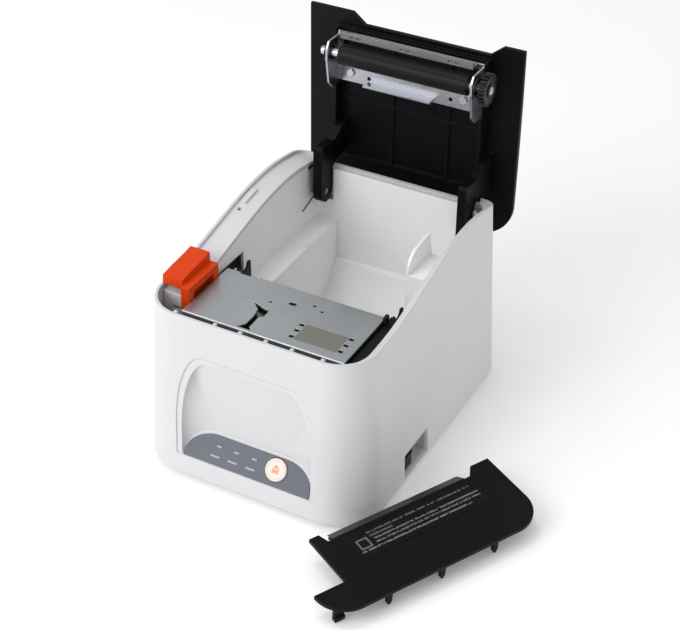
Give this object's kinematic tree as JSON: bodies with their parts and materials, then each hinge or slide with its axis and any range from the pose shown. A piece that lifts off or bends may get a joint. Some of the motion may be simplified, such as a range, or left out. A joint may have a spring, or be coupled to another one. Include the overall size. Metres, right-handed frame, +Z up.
{
  "type": "receipt printer",
  "caption": "Thermal receipt printer: white casing with arched front recess, hinged black lid carrying the platen, and a loose front cover beside it.",
  "frame": {"origin": "centre of the printer body's footprint, on the surface it stands on", "axes": "+X to the printer's right seen from its front, +Y to its back, +Z up"},
  "size_m": [0.2215, 0.2598, 0.2055],
  "materials": {
    "casing_white": "fine moulded satin",
    "base_white": "moulded, matt",
    "rubber_feet": "soft matt rubber",
    "screw_steel": "zinc plated",
    "panel_grey": "printed membrane",
    "button_cream": "moulded satin with printed ring",
    "lamp_lens": "clear moulded lens",
    "black_plastic": "fine spark texture",
    "polished_steel": "ground and polished",
    "zinc_sheet": "zinc plated sheet",
    "blade_steel": "ground steel",
    "label_grey": "printed foil",
    "label_print": "printed film",
    "motor_can": "drawn steel can",
    "gear_plastic": "acetal",
    "platen_rubber": "ground rubber",
    "head_ceramic": "glazed ceramic",
    "heat_sink": "extruded",
    "lever_orange": "moulded satin",
    "board_green": "solder mask",
    "board_parts": "moulded packages",
    "socket_black": "moulded"
  },
  "bodies": {
    "casing": {"upper_casing": "casing_white", "bottom_base": "base_white", "rubber_feet": "rubber_feet", "base_screws": "screw_steel", "control_panel": "panel_grey", "indicator_lenses": "lamp_lens", "switch_housing": "casing_white", "switch_body": "black_plastic", "paper_bin": "casing_white", "hinge_pins": "polished_steel", "lid_spring": "polished_steel", "mech_frame": "black_plastic", "cutter_cover_plate": "zinc_sheet", "plate_label": "label_grey", "cutter_stud": "polished_steel", "cutter_motor": "motor_can", "feed_motor": "motor_can", "idler_stud": "polished_steel", "head_springs": "polished_steel", "head_stay": "zinc_sheet", "lever_guide": "casing_white", "lever_pin": "polished_steel", "latch_pin": "polished_steel", "gear_cover": "black_plastic", "main_board": "board_green", "board_parts": "board_parts", "usb_socket": "socket_black", "drawer_socket": "socket_black", "power_inlet": "socket_black", "paper_sensor": "black_plastic"},
    "button": {"feed_button": "button_cream"},
    "rocker": {"power_rocker": "black_plastic"},
    "lid": {"lid_panel": "black_plastic", "lid_frame": "black_plastic", "platen_bracket": "zinc_sheet", "bracket_screws": "screw_steel", "platen_bushes": "black_plastic", "fixed_blade": "blade_steel"},
    "platen": {"platen_roller": "platen_rubber", "platen_shaft": "polished_steel", "platen_gear": "gear_plastic"},
    "lever": {"release_lever": "lever_orange"},
    "latch": {"latch_hook": "zinc_sheet"},
    "head": {"print_head": "head_ceramic", "heat_sink": "heat_sink"},
    "cutter": {"cutter_gear": "gear_plastic"},
    "blade": {"moving_blade": "blade_steel"},
    "idler": {"idler_gear": "gear_plastic"},
    "pinion": {"motor_pinion": "gear_plastic"},
    "cover": {"front_cover": "black_plastic", "tear_bar": "polished_steel", "cover_label": "label_print"}
  },
  "joints": [
    {"name": "lid_hinge", "type": "hinge", "parent": "casing", "child": "lid", "pos_m": [0, 0.075, 0.1005], "axis": [1, 0, 0], "range_deg": [0, 97]},
    {"name": "platen_spin", "type": "hinge", "parent": "lid", "child": "platen", "pos_m": [0.005, 0.082, 0.1895], "axis": [1, 0, 0], "continuous": true},
    {"name": "lever_lift", "type": "hinge", "parent": "casing", "child": "lever", "pos_m": [-0.057, -0.065, 0.096], "axis": [1, 0, 0], "range_deg": [0, 11], "stiffness_Nm_per_rad": 0.1},
    {"name": "latch_turn", "type": "hinge", "parent": "casing", "child": "latch", "pos_m": [-0.0464, -0.027, 0.084], "axis": [1, 0, 0], "range_deg": [0, 11]},
    {"name": "head_float", "type": "hinge", "parent": "casing", "child": "head", "pos_m": [0.005, -0.012, 0.0854], "axis": [1, 0, 0], "range_deg": [0, 2], "stiffness_Nm_per_rad": 1, "deforming": ["head_springs"]},
    {"name": "feed_button_press", "type": "slide", "parent": "casing", "child": "button", "axis": [0, 0.8073, -0.5902], "range_m": [0, 0.0012], "stiffness_N_per_m": 300},
    {"name": "power_rocker_tilt", "type": "hinge", "parent": "casing", "child": "rocker", "pos_m": [0.066, -0.031, 0.0136], "axis": [0, 1, 0], "range_deg": [0, 10]},
    {"name": "cutter_turn", "type": "hinge", "parent": "casing", "child": "cutter", "pos_m": [-0.008, -0.056, 0.097], "axis": [0, 0, 1], "range_deg": [0, 180]},
    {"name": "blade_slide", "type": "slide", "parent": "casing", "child": "blade", "axis": [0, 1, 0], "range_m": [0, 0.009]},
    {"name": "idler_spin", "type": "hinge", "parent": "casing", "child": "idler", "pos_m": [0.0558, -0.033, 0.0834], "axis": [1, 0, 0], "continuous": true},
    {"name": "motor_spin", "type": "hinge", "parent": "casing", "child": "pinion", "pos_m": [0.0558, -0.0468, 0.0738], "axis": [1, 0, 0], "continuous": true},
    {"name": "cover_lift", "type": "slide", "parent": "casing", "child": "cover", "axis": [0, 0, 1], "range_m": [0, 0.15]}
  ],
  "couplings": [
    {"joint": "latch_turn", "follows": "lever_lift", "ratio": 1},
    {"joint": "blade_slide", "follows": "cutter_turn", "m_per_rad": 0.0028648},
    {"joint": "motor_spin", "follows": "idler_spin", "ratio": -2.5}
  ]
}
